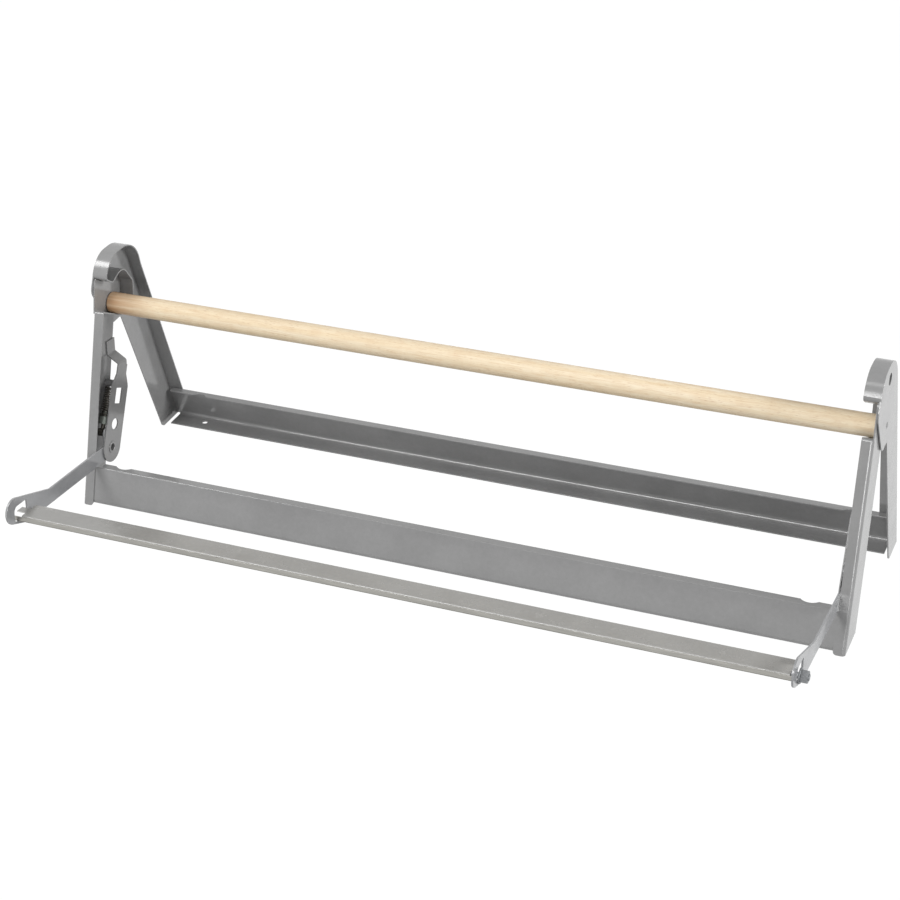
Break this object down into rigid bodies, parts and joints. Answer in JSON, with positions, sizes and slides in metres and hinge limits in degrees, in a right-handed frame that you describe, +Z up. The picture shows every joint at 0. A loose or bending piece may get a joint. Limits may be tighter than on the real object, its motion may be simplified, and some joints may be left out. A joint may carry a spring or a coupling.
{
  "type": "paper roll cutter",
  "caption": "Counter-top holder for a wide roll of wrapping paper, with a hinged blade bar that rides on the roll and tears the sheet against its edge",
  "frame": {"origin": "centre of the four counter screw holes, on the counter's surface", "axes": "+X along the roll to the end with the tension nut, -Y to the front, where the blade bar is, +Z up"},
  "size_m": [0.9618, 0.4197, 0.293],
  "materials": {
    "rear_leg": "glossy enamel",
    "front_leg": "glossy enamel",
    "spring_bracket": "glossy enamel",
    "blade_arm": "glossy enamel",
    "anchor_pin": "dark steel",
    "crank_pin": "dark steel",
    "pivot_eyelet": "plain steel",
    "spring": "dark spring wire",
    "spring_seat": "plain steel",
    "head_rivet": "glossy enamel",
    "front_rail": "glossy enamel",
    "rear_rail": "glossy enamel",
    "roll_bar": "plain turned beech",
    "blade_holder": "light grey enamel",
    "cutter_blade": "ground steel",
    "tension_stud": "zinc plated",
    "stud_washer": "zinc plated",
    "stud_nut": "zinc plated"
  },
  "bodies": {
    "frame": {"left_rear_leg": "rear_leg", "right_rear_leg": "rear_leg", "left_front_leg": "front_leg", "right_front_leg": "front_leg", "left_spring_bracket": "spring_bracket", "right_spring_bracket": "spring_bracket", "left_anchor_pin": "anchor_pin", "right_anchor_pin": "anchor_pin", "left_pivot_eyelet": "pivot_eyelet", "right_pivot_eyelet": "pivot_eyelet", "left_spring": "spring", "right_spring": "spring", "left_head_rivet": "head_rivet", "right_head_rivet": "head_rivet", "front_rail": "front_rail", "rear_rail": "rear_rail"},
    "cutter": {"left_blade_arm": "blade_arm", "right_blade_arm": "blade_arm", "left_crank_pin": "crank_pin", "right_crank_pin": "crank_pin", "blade_holder": "blade_holder", "cutter_blade": "cutter_blade", "tension_stud": "tension_stud", "stud_washer": "stud_washer", "stud_nut": "stud_nut"},
    "roll_bar": {"roll_bar": "roll_bar"},
    "left_seat": {"left_spring_seat": "spring_seat"},
    "right_seat": {"right_spring_seat": "spring_seat"}
  },
  "joints": [
    {"name": "cutter_swing", "type": "hinge", "parent": "frame", "child": "cutter", "pos_m": [0, -0.07, 0.0562], "axis": [-1, 0, 0], "range_deg": [0, 86], "deforming": ["left_spring", "right_spring"]},
    {"name": "roll_bar_lift", "type": "slide", "parent": "frame", "child": "roll_bar", "axis": [0, -0.8721, 0.4894], "range_m": [0, 0.1]},
    {"name": "left_seat_turn", "type": "hinge", "parent": "cutter", "child": "left_seat", "pos_m": [-0.46885, -0.0743, 0.078], "axis": [-1, 0, 0], "range_deg": [-117, 2]},
    {"name": "right_seat_turn", "type": "hinge", "parent": "cutter", "child": "right_seat", "pos_m": [0.46885, -0.0743, 0.078], "axis": [-1, 0, 0], "range_deg": [-117, 2]}
  ],
  "couplings": [
    {"joint": "left_seat_turn", "follows": "cutter_swing", "ratio": -1.332},
    {"joint": "right_seat_turn", "follows": "cutter_swing", "ratio": -1.332}
  ]
}
